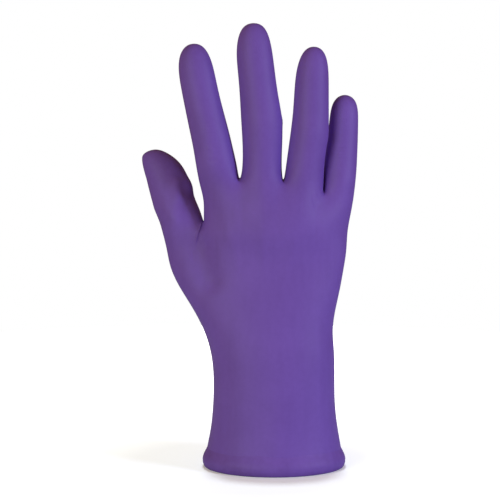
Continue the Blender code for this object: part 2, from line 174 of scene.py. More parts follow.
# How far the middle of a digit's tip stands above its last ring.
TIP_CROWN = 1.3

# Fineness of the skin. Faces near a fine fold are split again and laid on a finer skin, and
# those of the thinnest fold, at the web of the thumb, are split twice.
SKIN_LEVELS = 3
FINE_LEVELS = 4
FINE_CUTS = 2
FINE_RADIUS = 6.5
WEB_RADIUS = 2.4

# Where the film bends and where its seams lie: as heights at the wrist, and as distances from
# the crease at every other joint.
WRIST_BEND = (60, 90)
CUFF_SEAM = 48.0
ROOT_SEAM_BELOW = 1.0
ROOT_BEND_BELOW = 0.5
JOINT_BEND = 7.0
SEAM_GAP = 0.5
THUMB_ROOT_BEND = (0.5, 7)
THUMB_KNUCKLE_BEND = (-3.5, 10)
THUMB_SEAM_BELOW = 4.0
CUT_TOLERANCE = 1e-4

# The two sides of the glove. A ray that looks for the skin of a side starts outside of it.
BACK = -1
PALM = 1
RAY_START = 100.0

# Folds of the film: points (x, z) on one side of the glove, how far a fold reaches to each
# side of its line, its height (negative is a groove) and the share that fades at each end.
Fold = namedtuple("Fold", "side points reach height fade")
FOLDS = (
    # Valleys between the long bones of the back of the hand.
    Fold(BACK, ((14.2, 157), (15, 127)), 1.6, -0.38, 0.25),
    Fold(BACK, ((36, 151), (34.6, 124)), 2, -0.36, 0.25),
    Fold(BACK, ((-5, 153), (-2, 128)), 2.6, -0.18, 0.3),
    # Tendons.
    Fold(BACK, ((7, 150), (7.5, 104)), 2.6, 0.22, 0.3),
    Fold(BACK, ((28, 148), (20, 104)), 2.6, 0.22, 0.3),
    Fold(BACK, ((-15, 148), (-4, 104)), 2.6, 0.2, 0.3),
    # Broad hollow between the thumb's root and the first long bone.
    Fold(BACK, ((-27, 131), (-25.5, 119), (-23, 107), (-17, 95)), 8, -2.4, 0.3),
    # Edge of the thumb between its back and the side that faces the hand.
    Fold(BACK, ((-38.5, 159.3), (-39.5, 154.1), (-38.4, 147.8), (-35, 143.5)), 3.2, 1.3, 0.3),
    # Wrinkle across the index finger below its knuckle.
    Fold(BACK, ((-23.3, 175.8), (-20.1, 175), (-17.4, 172.6)), 1, 0.16, 0.25),
    Fold(BACK, ((-22.8, 168.4), (-19.5, 168.6), (-16.5, 170.2)), 1.1, -0.14, 0.3),
    # Small creases beside the ring finger's root.
    Fold(BACK, ((34.6, 152.5), (36.4, 148.5), (38, 145.6)), 0.8, 0.2, 0.3),
    Fold(BACK, ((33.2, 150.5), (35.2, 145.5)), 0.8, -0.14, 0.3),
    # Step at the thumb's knuckle.
    Fold(BACK, ((-44, 140.5), (-41, 136.8), (-37.5, 133.6)), 1.8, 0.28, 0.3),
    # Lines of tension from the web of the thumb.
    Fold(BACK, ((-25.5, 127), (-22, 119)), 0.9, -0.14, 0.35),
    Fold(BACK, ((-31.5, 119.5), (-30.5, 111)), 1, -0.14, 0.35),
    # Three long lines of the palm, softened by the film.
    Fold(
        PALM, ((-21, 139), (-7, 130), (1, 114), (-2, 96), (-8, 84)),
        1.8, -0.5, 0.2,
    ),
    Fold(PALM, ((-20, 137), (-2, 135), (18, 128), (38, 116)), 1.6, -0.35, 0.25),
    Fold(PALM, ((53, 139), (38, 137), (20, 142), (6, 151)), 1.6, -0.35, 0.25),
    # Wrinkles across the inside of the wrist.
    Fold(PALM, ((-12, 77), (8, 75), (32, 77.5)), 1.3, -0.3, 0.3),
    Fold(PALM, ((-6, 71), (14, 69.5), (36, 72)), 1.1, -0.2, 0.35),
)

# Rounded swellings and hollows: side, centre (x, z), reach and height.
Mound = namedtuple("Mound", "side centre reach height")
MOUNDS = (
    Mound(BACK, (-15, 149), 7, 0.3),
    Mound(BACK, (-10.5, 130), 7.5, 0.7),
    Mound(BACK, (7.3, 151), 7.5, 0.35),
    Mound(BACK, (28.8, 148), 7, 0.3),
    Mound(BACK, (45.5, 140), 6, 0.25),
    Mound(BACK, (-20.8, 184), 5, 0.3),
    Mound(BACK, (6.6, 189), 6, 0.35),
    Mound(BACK, (32.8, 183.5), 5, 0.3),
    Mound(BACK, (50.4, 171.5), 4, 0.25),
    Mound(BACK, (15.3, 107), 2.2, -0.18),
    Mound(PALM, (-24, 104), 15, 1.6),
    Mound(PALM, (37, 100), 15, 1.2),
    Mound(PALM, (8, 121), 12, -0.8),
    Mound(PALM, (-15, 151), 6.5, 0.6),
    Mound(PALM, (7, 152), 6.5, 0.6),
    Mound(PALM, (29, 150), 6.5, 0.6),
    Mound(PALM, (46, 143), 6, 0.5),
)

# The fold that runs down from the web between thumb and hand: a ridge with a groove on its
# right. Points are (x, y, z) on the skin.
WEB_FOLD = (
    (-25.6, 3, 135.2), (-26.1, 0.4, 133.2), (-26.8, -1, 131.2),
    (-27.7, -1.9, 128.9), (-28.6, -2.6, 126.6), (-29.4, -3, 124.4), (-30.2, -3.3, 122.2),
)
WEB_FOLD_REACH = 0.45
WEB_FOLD_HEIGHT = 0.4
WEB_FOLD_FADE = 0.3
WEB_GROOVE_SHIFT = Vector((0.85, 0, -0.3))

# Small swellings and hollows on the sides of the digits: centre (x, y, z), reach and height.
SIDE_MOUNDS = (
    # The middle finger's right side at its crease, and the ring finger's beside the little.
    ((17.6, -1, 189.5), 2.6, 0.35),
    ((42.6, -3.8, 181.5), 4.5, 0.3),
    # The thumb's right side: a swelling over its end joint and a hollow below it.
    ((-33.5, 13, 154.5), 4.5, 1.3),
    ((-32.2, 11.5, 151.5), 3.2, 0.6),
    ((-30.8, 9.8, 146.6), 2.6, -0.55),
    # The thumb's left side: the edge of the nail and the joint below it.
    ((-55.9, 15, 157.6), 2.4, -0.35),
    ((-51.6, 10, 141.5), 3.4, 0.35),
    ((-47.9, 7, 134), 4, -0.3),
)

# Creases across the palm side of a finger and pads between them. Spans and the reach of a
# pad are shares of the finger's half width.
CREASE_REACH = 1.2
CREASE_DEPTH = 0.38
CREASE_SPAN = 0.72
CREASE_FADE = 0.3
PAD_HEIGHT = 0.35
PAD_REACH = 0.75
PAD_BELOW_TIP = 1.0

# Wrinkles on the back of a middle knuckle: their heights above its crease, and the distance
# from the crease at which a wrinkle would have no width left.
KNUCKLE_WRINKLES = (-2.6, -0.9, 0.9, 2.7)
KNUCKLE_WRINKLE_REACH = 0.55
KNUCKLE_WRINKLE_DEPTH = 0.07
KNUCKLE_WRINKLE_SPAN = 0.55
KNUCKLE_WRINKLE_END = 8.0
KNUCKLE_WRINKLE_FADE = 0.35

# Other places (x, z) on the back of the glove whose small creases need finer faces.
FINE_SPOTS = ((36, 149), (-20, 172.5))

# Slow waves of the film: wavelength and height, and those of the loose cuff, which rise and
# fade between these heights.
WAVE_LENGTH = 24.0
WAVE_HEIGHT = 0.16
CUFF_WAVE_LENGTH = (15, 15, 70)
CUFF_WAVE_HEIGHT = 0.4
CUFF_WAVE_RISE = (4, 16)
CUFF_WAVE_FADE = (28, 70)

# Grip texture of the fingertips: where it starts and where it is full, below the tip of a
# finger and above the end joint of the thumb, and how far to the side it reaches.
GRIP_BELOW_TIP = (24, 12)
GRIP_HALF_WIDTH = 14.0
GRIP_ABOVE_THUMB_KNUCKLE = (4, 16)
GRIP_THUMB_RIGHT = -33.0


def new_object(name, data):
    """An object of the scene."""
    result = bpy.data.objects.new(name, data)
    bpy.context.scene.collection.objects.link(result)
    return result


def keep_values(data, name, kind, values):
    """Keep a value for each vertex of a mesh, for the materials to read."""
    kept = data.attributes.new(name, kind, "POINT")
    socket = "vector" if kind == "FLOAT_VECTOR" else "value"
    kept.data.foreach_set(socket, np.array(values, np.float32).ravel())


def ring_polygons(rings, steps, closed):
    """Quads between rings of points; closed also joins the last ring to the first."""
    polygons = []
    for ring in range(rings if closed else rings - 1):
        here = ring * steps
        there = (ring + 1) % rings * steps
        for step in range(steps):
            following = (step + 1) % steps
            polygons.append((here + step, there + step, there + following, here + following))
    return polygons


def new_material(name):
    """A material, its node tree and its shader."""
    material = bpy.data.materials.new(name)
    material.use_nodes = True
    return material, material.node_tree, material.node_tree.nodes["Principled BSDF"]


def blend_three(values, across):
    """Quadratic through the values at across = -1, 0 and 1."""
    low, middle, high = values
    slope = (high - low) / 2
    bow = (high + low) / 2 - middle
    return middle + slope * across + bow * across * across


def smooth_step(value, low, high):
    """0 below low, 1 above high and a smooth rise between them, for numbers or arrays."""
    share = np.clip((value - low) / (high - low), 0.0, 1.0)
    return share * share * (3 - 2 * share)


def oval_height(across, power):
    """Height of a rounded oval of half width 1 and half height 1."""
    inside = max(0.0, 1.0 - abs(across) ** power)
    return inside ** (1.0 / power)


def column_fraction(column):
    """Place of a column across a level section, from -1 to 1, on equal steps of angle."""
    return -math.cos(math.pi * (column + 1) / (COLUMNS + 1))


def limit_scale(sides):
    """How much wider a control ring is than the smooth ring it makes."""
    return 6.0 / (4.0 + 2.0 * math.cos(2.0 * math.pi / sides))


def hand_ring(section):
    """Points of one level section: back columns, little side, palm columns, thumb side."""
    grow = limit_scale(2 * COLUMNS + 2)
    centre = (section.left + section.right) / 2
    half = (section.right - section.left) / 2 * grow

    def point(column, side):
        across = column_fraction(column)
        middle_y = section.left_y + (section.right_y - section.left_y) * (across + 1) / 2
        depths = section.back if side < 0 else section.palm
        depth = blend_three(depths, across) * oval_height(across, section.power) * grow
        return Vector((centre + half * across, middle_y + side * depth, section.z))

    return {
        "back": {column: point(column, BACK) for column in range(COLUMNS)},
        "palm": {column: point(column, PALM) for column in range(COLUMNS)},
        "little_side": Vector((centre + half, section.right_y, section.z)),
        "thumb_side": Vector((centre - half, section.left_y, section.z)),
    }


def finger_column_x(column):
    """X of a column at the roots of the fingers."""
    edge = (column - THUMB_COLUMN) // 2
    if (column - THUMB_COLUMN) % 2 == 0:
        return FINGER_EDGES[edge]
    return (FINGER_EDGES[edge] + FINGER_EDGES[edge + 1]) / 2


def palm_ring(section):
    """Points of one section of the palm above the thumb, from column 2 to column 10."""
    centre = (section.left + section.right) / 2
    half = (section.right - section.left) / 2
    root_centre = (FINGER_EDGES[0] + FINGER_EDGES[-1]) / 2
    root_half = (FINGER_EDGES[-1] - FINGER_EDGES[0]) / 2

    def height(column):
        rise = section.rise * THUMB_RISE.get(column, 0.0)
        drop = section.drop * LITTLE_DROP.get(column, 0.0)
        return section.z + rise - drop

    def point(column, side):
        across = (finger_column_x(column) - root_centre) / root_half
        across = max(-PALM_CORNER, min(PALM_CORNER, across))
        depths = section.back if side < 0 else section.palm
        depth = blend_three(depths, across) * oval_height(across, OVAL_POWER)
        if column in BETWEEN_FINGERS:
            depth -= section.scallop
        low, high = PALM_CENTRE_Y
        middle_y = low + (high - low) * max(0.0, across) ** 2
        return Vector((centre + half * across, middle_y + side * depth, height(column)))

    columns = range(THUMB_COLUMN, COLUMNS)
    return {
        "back": {column: point(column, BACK) for column in columns},
        "palm": {column: point(column, PALM) for column in columns},
        "little_side": Vector((section.right, PALM_CENTRE_Y[1], height(COLUMNS - 1))),
        "thumb_side": Vector((section.left, PALM_THUMB_SIDE_Y, height(THUMB_COLUMN))),
    }


def tube_ring(centre, across, back, half_width, half_depth):
    """Eight points round a finger: back left, back, back right, right, and so on round."""
    grow = limit_scale(8)
    points = []
    for step in range(8):
        angle = math.radians(135 - 45 * step)
        side = across * (math.cos(angle) * half_width * grow)
        rise = back * (math.sin(angle) * half_depth * grow)
        points.append(centre + side + rise)
    return points


def add_points(mesh, points):
    """Add a vertex for each point and return them in the same order."""
    return [mesh.verts.new(point) for point in points]


def ring_loop(ring, first):
    """The vertices of a ring in order, from its first back column round to the thumb side."""
    back = [ring["back"][column] for column in range(first, COLUMNS)]
    palm = [ring["palm"][column] for column in range(COLUMNS - 1, first - 1, -1)]
    return back + [ring["little_side"]] + palm + [ring["thumb_side"]]


def add_face(mesh, corners, digit):
    """Add a face and mark which digit it belongs to."""
    face = mesh.faces.new(corners)
    face[mesh.faces.layers.int[DIGIT_LAYER]] = digit
    return face


def bridge(mesh, lower, upper, digit=HAND):
    """Quads between two closed rings that have the same number of vertices."""
    count = len(lower)
    faces = []
    for index in range(count):
        following = (index + 1) % count
        corners = (lower[index], lower[following], upper[following], upper[index])
        faces.append(add_face(mesh, corners, digit))
    return faces


def cap(mesh, ring, centre, digit):
    """Close a ring of eight with four quads round one vertex."""
    for index in range(0, 8, 2):
        corners = (ring[index], ring[index + 1], ring[(index + 2) % 8], centre)
        add_face(mesh, corners, digit)


def ring_vertices(mesh, ring):
    """Vertices for the points of a section, with the same keys."""
    return {
        "back": {column: mesh.verts.new(point) for column, point in ring["back"].items()},
        "palm": {column: mesh.verts.new(point) for column, point in ring["palm"].items()},
        "little_side": mesh.verts.new(ring["little_side"]),
        "thumb_side": mesh.verts.new(ring["thumb_side"]),
    }


def grow_digit(mesh, name, lower, rings, across, back, up):
    """Grow a digit from the eight vertices of its root to its tip, ring by ring."""
    for centre, half_width, half_depth in rings:
        points = tube_ring(Vector(centre), across, back, half_width, half_depth)
        upper = add_points(mesh, points)
        bridge(mesh, lower, upper, DIGITS[name])
        lower = upper
    tip = sum((vertex.co for vertex in lower), Vector()) / len(lower)
    cap(mesh, lower, mesh.verts.new(tip + up * TIP_CROWN), DIGITS[name])


def add_finger(mesh, name, root):
    """Grow a finger straight up from its root."""
    rings = [((x, y, height), wide, deep) for height, x, y, wide, deep in FINGER_RINGS[name]]
    across, back, up = Vector((1, 0, 0)), Vector((0, -1, 0)), Vector((0, 0, 1))
    grow_digit(mesh, name, root, rings, across, back, up)


def add_thumb(mesh, root):
    """Grow the thumb from its root along its own direction."""
    across = Vector((1, 0, 0))
    across = (across - THUMB_DIRECTION * across.dot(THUMB_DIRECTION)).normalized()
    back = across.cross(THUMB_DIRECTION)
    grow_digit(mesh, "thumb", root, THUMB_RINGS, across, back, THUMB_DIRECTION)


def finger_root(ring, webs, column):
    """The eight vertices at the root of the finger whose first column is given."""
    left = webs.get(column, ring["thumb_side"])
    right = webs.get(column + 2, ring["little_side"])
    back = [ring["back"][column + step] for step in range(3)]
    palm = [ring["palm"][column + step] for step in (2, 1, 0)]
    return back + [right] + palm + [left]


def build_cage():
    """The control mesh of the whole glove, open at the cuff."""
    mesh = bmesh.new()
    digit_layer = mesh.faces.layers.int.new(DIGIT_LAYER)
    rings = [ring_vertices(mesh, hand_ring(section)) for section in HAND_SECTIONS]
    for lower, upper in zip(rings, rings[1:]):
        faces = bridge(mesh, ring_loop(lower, 0), ring_loop(upper, 0))
    # The thumb's base reaches down into the last band of the hand.
    for index in THUMB_BASE_FACES:
        faces[index][digit_layer] = DIGITS["thumb"]

    split = rings[-1]
    thumb_web = mesh.verts.new(THUMB_WEB)
    for side in ("back", "palm"):
        for column, share in THUMB_WEB_LIFT.items():
            split[side][column].co.z += share * (THUMB_WEB[2] - HAND_SECTIONS[-1].z)
        split[side][THUMB_COLUMN].co.x = THUMB_WEB_COLUMN_X
    thumb_root = [split["back"][column] for column in range(3)] + [thumb_web]
    thumb_root += [split["palm"][column] for column in (2, 1, 0)] + [split["thumb_side"]]
    add_thumb(mesh, thumb_root)

    lower = dict(split, thumb_side=thumb_web)
    for section in PALM_SECTIONS:
        upper = ring_vertices(mesh, palm_ring(section))
        bridge(mesh, ring_loop(lower, THUMB_COLUMN), ring_loop(upper, THUMB_COLUMN))
        lower = upper

    webs = {}
    for column in BETWEEN_FINGERS:
        corner = lower["back"][column].co
        webs[column] = mesh.verts.new((corner.x, WEB_Y, corner.z))
    for name, column in FINGER_COLUMNS.items():
        add_finger(mesh, name, finger_root(lower, webs, column))
    bmesh.ops.recalc_face_normals(mesh, faces=mesh.faces)
    return mesh


def smooth_surface(cage, levels):
    """The smooth surface of a control mesh, as a bmesh in millimetres."""
    data = bpy.data.meshes.new("skin")
    cage.to_mesh(data)
    holder = new_object("skin", data)
    subdivision = holder.modifiers.new("Smooth skin", "SUBSURF")
    subdivision.levels = levels
    subdivision.render_levels = levels
    evaluated = holder.evaluated_get(bpy.context.evaluated_depsgraph_get())
    skin = bmesh.new()
    skin.from_mesh(evaluated.to_mesh())
    evaluated.to_mesh_clear()
    bpy.data.objects.remove(holder, do_unlink=True)
    bpy.data.meshes.remove(data)
    return skin


def surface_point(tree, side, x, z):
    """The point of the skin seen from one side of the glove at the given x and z."""
    start = Vector((x, side * RAY_START, z))
    hit = tree.ray_cast(start, Vector((0, -side, 0)))[0]
    return np.array(hit if hit is not None else (x, 0.0, z))


def nearest_point(tree, place):
    """The point of the skin nearest to a place."""
    return np.array(tree.find_nearest(place)[0])


def segment_distance(points, start, end):
    """Distance of each point from a segment, and its place along it from 0 to 1."""
    line = end - start
    length = max(float(line @ line), 1e-9)
    along = np.clip((points - start) @ line / length, 0.0, 1.0)
    gap = points - (start + along[:, None] * line)
    return np.sqrt((gap * gap).sum(1)), along


def fold_field(points, line, reach, fade):
    """1 on a line through 3-D points, falling to 0 beside it and towards its two ends."""
    best = np.full(len(points), 1e9)
    place = np.zeros(len(points))
    lengths = [np.linalg.norm(end - start) for start, end in zip(line, line[1:])]
    done = 0.0
    for start, end, length in zip(line, line[1:], lengths):
        distance, along = segment_distance(points, start, end)
        nearer = distance < best
        best = np.where(nearer, distance, best)
        place = np.where(nearer, (done + along * length) / sum(lengths), place)
        done += length
    ends = smooth_step(place, 0.0, fade) * smooth_step(1 - place, 0.0, fade)
    return np.exp(-((best / reach) ** 2)) * ends


def mound_field(points, centre, reach):
    """1 at a centre on the skin, falling to 0 round it."""
    distance = np.linalg.norm(points - centre, axis=1)
    return np.exp(-((distance / reach) ** 2))


def finger_line(name, height):
    """Centre x and half width of a finger at a height."""
    rings = np.array(FINGER_RINGS[name])
    centre = np.interp(height, rings[:, 0], rings[:, 1])
    half = np.interp(height, rings[:, 0], rings[:, 3])
    return centre, half


def line_across(tree, side, centre, span, height):
    """Three points of the skin across a finger at one height."""
    places = (centre - span, centre, centre + span)
    return [surface_point(tree, side, x, height) for x in places]


def detail_height(points, tree):
    """How far each point of the skin moves out, from every fold, mound, crease and wave."""
    height = np.zeros(len(points))
    for fold in FOLDS:
        line = [surface_point(tree, fold.side, x, z) for x, z in fold.points]
        height += fold.height * fold_field(points, line, fold.reach, fold.fade)
    for mound in MOUNDS:
        centre = surface_point(tree, mound.side, *mound.centre)
        height += mound.height * mound_field(points, centre, mound.reach)
    for centre, reach, rise in SIDE_MOUNDS:
        height += rise * mound_field(points, nearest_point(tree, Vector(centre)), reach)
    for name, creases in FINGER_CREASES.items():
        height += finger_detail(points, tree, name, creases)
    for shift, sign in ((Vector(), 1), (WEB_GROOVE_SHIFT, -1)):
        line = [nearest_point(tree, Vector(point) + shift) for point in WEB_FOLD]
        fold = fold_field(points, line, WEB_FOLD_REACH, WEB_FOLD_FADE)
        height += sign * WEB_FOLD_HEIGHT * fold
    return height + waves(points)


def finger_detail(points, tree, name, creases):
    """Creases and pads on the palm side of a finger, and wrinkles on its middle knuckle."""
    height = np.zeros(len(points))
    tip = FINGER_RINGS[name][-1][0]
    for crease in creases:
        centre, half = finger_line(name, crease)
        line = line_across(tree, PALM, centre, CREASE_SPAN * half, crease)
        height -= CREASE_DEPTH * fold_field(points, line, CREASE_REACH, CREASE_FADE)
    for low, high in zip(creases, creases[1:] + (tip - PAD_BELOW_TIP,)):
        middle = (low + high) / 2
        centre, half = finger_line(name, middle)
        pad = surface_point(tree, PALM, centre, middle)
        height += PAD_HEIGHT * mound_field(points, pad, PAD_REACH * half)
    for offset in KNUCKLE_WRINKLES:
        place = creases[1] + offset
        centre, half = finger_line(name, place)
        span = KNUCKLE_WRINKLE_SPAN * half * (1 - abs(offset) / KNUCKLE_WRINKLE_END)
        line = line_across(tree, BACK, centre, span, place)
        wrinkle = fold_field(points, line, KNUCKLE_WRINKLE_REACH, KNUCKLE_WRINKLE_FADE)
        height -= KNUCKLE_WRINKLE_DEPTH * wrinkle
    return height


def waves(points):
    """Slow uneven waves over the whole film, and long soft folds down the loose cuff."""
    slow = [noise.noise(Vector(point) / WAVE_LENGTH) for point in points]
    loose = [noise.noise(Vector(point)) for point in points / np.array(CUFF_WAVE_LENGTH)]
    share = smooth_step(points[:, 2], *CUFF_WAVE_RISE)
    share = share * (1 - smooth_step(points[:, 2], *CUFF_WAVE_FADE))
    return WAVE_HEIGHT * np.array(slow) + CUFF_WAVE_HEIGHT * share * np.array(loose)


def fine_places(tree):
    """Centres of the small areas whose folds need finer faces."""
    spots = list(FINE_SPOTS)
    for name, creases in FINGER_CREASES.items():
        spots.append((finger_line(name, creases[1])[0], creases[1]))
    places = [Vector(surface_point(tree, BACK, x, z)) for x, z in spots]
    return places + [Vector(point) for point in WEB_FOLD]


def refine(skin, fine_tree, places, radius):
    """Split the faces near the given places and lay the new vertices on the finer skin."""
    old = set(skin.verts)
    edges = set()
    for face in skin.faces:
        centre = face.calc_center_median()
        if any((centre - place).length < radius for place in places):
            edges.update(face.edges)
    bmesh.ops.subdivide_edges(skin, edges=list(edges), cuts=FINE_CUTS, use_grid_fill=True)
    for vertex in skin.verts:
        if vertex not in old:
            vertex.co = fine_tree.find_nearest(vertex.co)[0]


def add_detail(skin, tree):
    """Move the skin's vertices along their normals by the height of its details."""
    skin.normal_update()
    points = np.array([vertex.co for vertex in skin.verts])
    normals = np.array([vertex.normal for vertex in skin.verts])
    height = detail_height(points, tree)
    moved = points + normals * height[:, None]
    for vertex, place in zip(skin.verts, moved):
        vertex.co = place


def cut(skin, digit, point, normal):
    """Add edges to one digit of the skin, or to all of it, where a plane crosses it."""
    layer = skin.faces.layers.int[DIGIT_LAYER]
    faces = [face for face in skin.faces if digit is None or face[layer] == digit]
    edges = {edge for face in faces for edge in face.edges}
    vertices = {vertex for face in faces for vertex in face.verts}
    bmesh.ops.bisect_plane(
        skin,
        geom=list(vertices) + list(edges) + faces,
        plane_co=point,
        plane_no=normal,
        dist=CUT_TOLERANCE,
    )


# A piece of the film: its name, the digit it is on, the planes it lies above and below, the
# two bodies it is listed to bend between, where that bend lies, which nothing here applies,
# and the CAD node it stands for.
FilmPiece = namedtuple("FilmPiece", "name digit above below bodies bend node")


def level(height):
    """A level plane at the given height."""
    return Vector((0, 0, height)), Vector((0, 0, 1))


def shifted(plane, distance):
    """A plane moved along its normal."""
    point, normal = plane
    return point + normal * distance, normal


def bend_between(plane, low, high):
    """Start and end of a bend across a plane, at distances along its normal."""
    return shifted(plane, low)[0], shifted(plane, high)[0]


def finger_pieces(name):
    """The three pieces of the film on one finger."""
    knuckle, middle, end = FINGER_CREASES[name]
    root = level(knuckle - ROOT_SEAM_BELOW)
    middle_seam = level(middle - JOINT_BEND - SEAM_GAP)
    tip_seam = level(end - JOINT_BEND - SEAM_GAP)
    root_bend = (level(knuckle - ROOT_BEND_BELOW)[0], shifted(middle_seam, -SEAM_GAP)[0])
    middle_bend = bend_between(level(middle), -JOINT_BEND, JOINT_BEND)
    tip_bend = bend_between(level(end), -JOINT_BEND, JOINT_BEND)
    first, second, third = (f"{name}_finger_{part}" for part in ("base", "middle", "tip"))
    return [
        FilmPiece(
            f"{name}_root_film", name, root, middle_seam, ("hand", first), root_bend, first,
        ),
        FilmPiece(
            f"{name}_middle_film", name, middle_seam, tip_seam, (first, second), middle_bend,
            second,
        ),
        FilmPiece(f"{name}_tip_film", name, tip_seam, None, (second, third), tip_bend, third),
    ]


def thumb_pieces():
    """The two pieces of the film on the thumb."""
    seam = shifted(THUMB_KNUCKLE, -THUMB_SEAM_BELOW)
    root_bend = bend_between(THUMB_ROOT, *THUMB_ROOT_BEND)
    tip_bend = bend_between(THUMB_KNUCKLE, *THUMB_KNUCKLE_BEND)
    base, tip = "thumb_base", "thumb_tip"
    return [
        FilmPiece("thumb_root_film", "thumb", THUMB_ROOT, seam, ("hand", base), root_bend, base),
        FilmPiece("thumb_tip_film", "thumb", seam, None, (base, tip), tip_bend, tip),
    ]


def beyond(plane, point):
    """Whether a point lies past a plane, along its normal."""
    return (point - plane[0]).dot(plane[1]) > 0


def piece_of_face(face, digit_names, digit_pieces, layer):
    """The name of the piece that a face of the cut skin belongs to."""
    centre = face.calc_center_median()
    for piece in digit_pieces.get(digit_names.get(face[layer]), ()):
        under = piece.below is None or not beyond(piece.below, centre)
        if under and beyond(piece.above, centre):
            return piece.name
    return "palm_film" if centre.z > CUFF_SEAM else "cuff_film"


def share_out(skin, pieces):
    """Cut the skin along every seam and return the faces of each piece by its name."""
    cut(skin, None, *level(CUFF_SEAM))
    for piece in pieces:
        cut(skin, DIGITS[piece.digit], *piece.above)
    skin.normal_update()
    layer = skin.faces.layers.int[DIGIT_LAYER]
    names = {number: name for name, number in DIGITS.items()}
    by_digit = {name: [piece for piece in pieces if piece.digit == name] for name in DIGITS}
    shares = {}
    for face in skin.faces:
        shares.setdefault(piece_of_face(face, names, by_digit, layer), []).append(face)
    return shares


def grip_share(point):
    """How much of the fingertips' fine grip texture a point has."""
    best = 0.0
    for rings in FINGER_RINGS.values():
        tip, x = rings[-1][:2]
        if abs(point.x - x) < GRIP_HALF_WIDTH:
            start, full = (tip - below for below in GRIP_BELOW_TIP)
            best = max(best, float(smooth_step(point.z, start, full)))
    if point.x < GRIP_THUMB_RIGHT:
        along = (point - THUMB_KNUCKLE[0]).dot(THUMB_KNUCKLE[1])
        best = max(best, float(smooth_step(along, *GRIP_ABOVE_THUMB_KNUCKLE)))
    return best


def film_object(name, faces, material):
    """One piece of the film as a closed shell with its real thickness."""
    vertices = list(dict.fromkeys(vertex for face in faces for vertex in face.verts))
    index_of = {vertex: index for index, vertex in enumerate(vertices)}
    count = len(vertices)
    outer = [vertex.co * MILLIMETRE for vertex in vertices]
    inner = [(vertex.co - vertex.normal * FILM_THICKNESS) * MILLIMETRE for vertex in vertices]
    polygons, normals = [], []
    for face in faces:
        corners = [index_of[vertex] for vertex in face.verts]
        polygons.append(corners)
        normals += [vertices[corner].normal for corner in corners]
    for face in faces:
        corners = [index_of[vertex] for vertex in reversed(face.verts)]
        polygons.append([corner + count for corner in corners])
        normals += [-vertices[corner].normal for corner in corners]
    own = set(faces)
    for face in faces:
        for loop in face.loops:
            if sum(other in own for other in loop.edge.link_faces) > 1:
                continue
            first, second = index_of[loop.vert], index_of[loop.link_loop_next.vert]
            polygons.append([second, first, first + count, second + count])
            edge = loop.link_loop_next.vert.co - loop.vert.co
            rim = edge.cross(face.normal).normalized()
            normals += [rim] * 4
    data = bpy.data.meshes.new(name)
    data.from_pydata(outer + inner, [], polygons)
    data.shade_smooth()
    data.normals_split_custom_set(normals)
    keep_values(data, "rest", "FLOAT_VECTOR", [tuple(vertex.co) for vertex in vertices] * 2)
    keep_values(data, "grip", "FLOAT", [grip_share(vertex.co) for vertex in vertices] * 2)
    data.materials.append(material)
    return new_object(name, data)


# Rolled bead: steps round the mouth and round its section. The roll is fullest below half of
# its height. Higher up it thins out and leans in, so that it blends into the film. Its two
# powers shape its foot and its upper end.
BEAD_STEPS = 320
BEAD_SECTION_STEPS = 44
ROLL_HEIGHT = 12.0
ROLL_WALL = 3.4
ROLL_SWEEP = 0.62
ROLL_POWERS = (0.75, 1.6)
ROLL_LEAN = 1.5
ROLL_LEAN_FROM = 4.0
ROLL_LEAN_POWER = 1.6

# Marks of the rolled-up layers on the bead: their heights, and how they wander up and down.
BEAD_LAYERS = (1.4, 3.6)
BEAD_LAYER_DEPTH = 0.07
BEAD_LAYER_REACH = 0.3
BEAD_LAYER_WANDER = 0.35
BEAD_LAYER_TURNS = 3.0
BEAD_LAYER_SEED = 7.0

# Unevenness of the roll: how fast it changes round the ring and upwards, where its noise
# starts, and its height.
Unevenness = namedtuple("Unevenness", "around upwards start height")
BEAD_UNEVENNESS = (
    Unevenness(5.0, 0.2, 0.0, 0.09),
    Unevenness(22.0, 0.5, 3.0, 0.0405),
)


def bead_point(around, step):
    """Offset from the bead's centre line, outwards and upwards, at one place of its roll."""
    turn = 2 * math.pi * step / BEAD_SECTION_STEPS
    rise = (1 - math.cos(turn)) / 2
    side = 1 if step < BEAD_SECTION_STEPS / 2 else -1
    power = ROLL_POWERS[0] + (ROLL_POWERS[1] - ROLL_POWERS[0]) * rise
    fullness = max(0.0, math.sin(math.pi * rise ** ROLL_SWEEP)) ** power
    up = ROLL_HEIGHT * rise
    leaning = max(0.0, up - ROLL_LEAN_FROM) / (ROLL_HEIGHT - ROLL_LEAN_FROM)
    ring = Vector((math.cos(around), math.sin(around), 0))
    swell = 0.0
    for uneven in BEAD_UNEVENNESS:
        place = ring * uneven.around + Vector((uneven.start, 0, up * uneven.upwards))
        swell += noise.noise(place) * uneven.height
    for number, layer in enumerate(BEAD_LAYERS):
        place = ring * BEAD_LAYER_TURNS + Vector((0, 0, BEAD_LAYER_SEED + number))
        height = layer + BEAD_LAYER_WANDER * noise.noise(place)
        swell -= BEAD_LAYER_DEPTH * math.exp(-(((up - height) / BEAD_LAYER_REACH) ** 2))
    out = side * fullness * (ROLL_WALL / 2 + swell)
    return out - ROLL_LEAN * leaning ** ROLL_LEAN_POWER, up


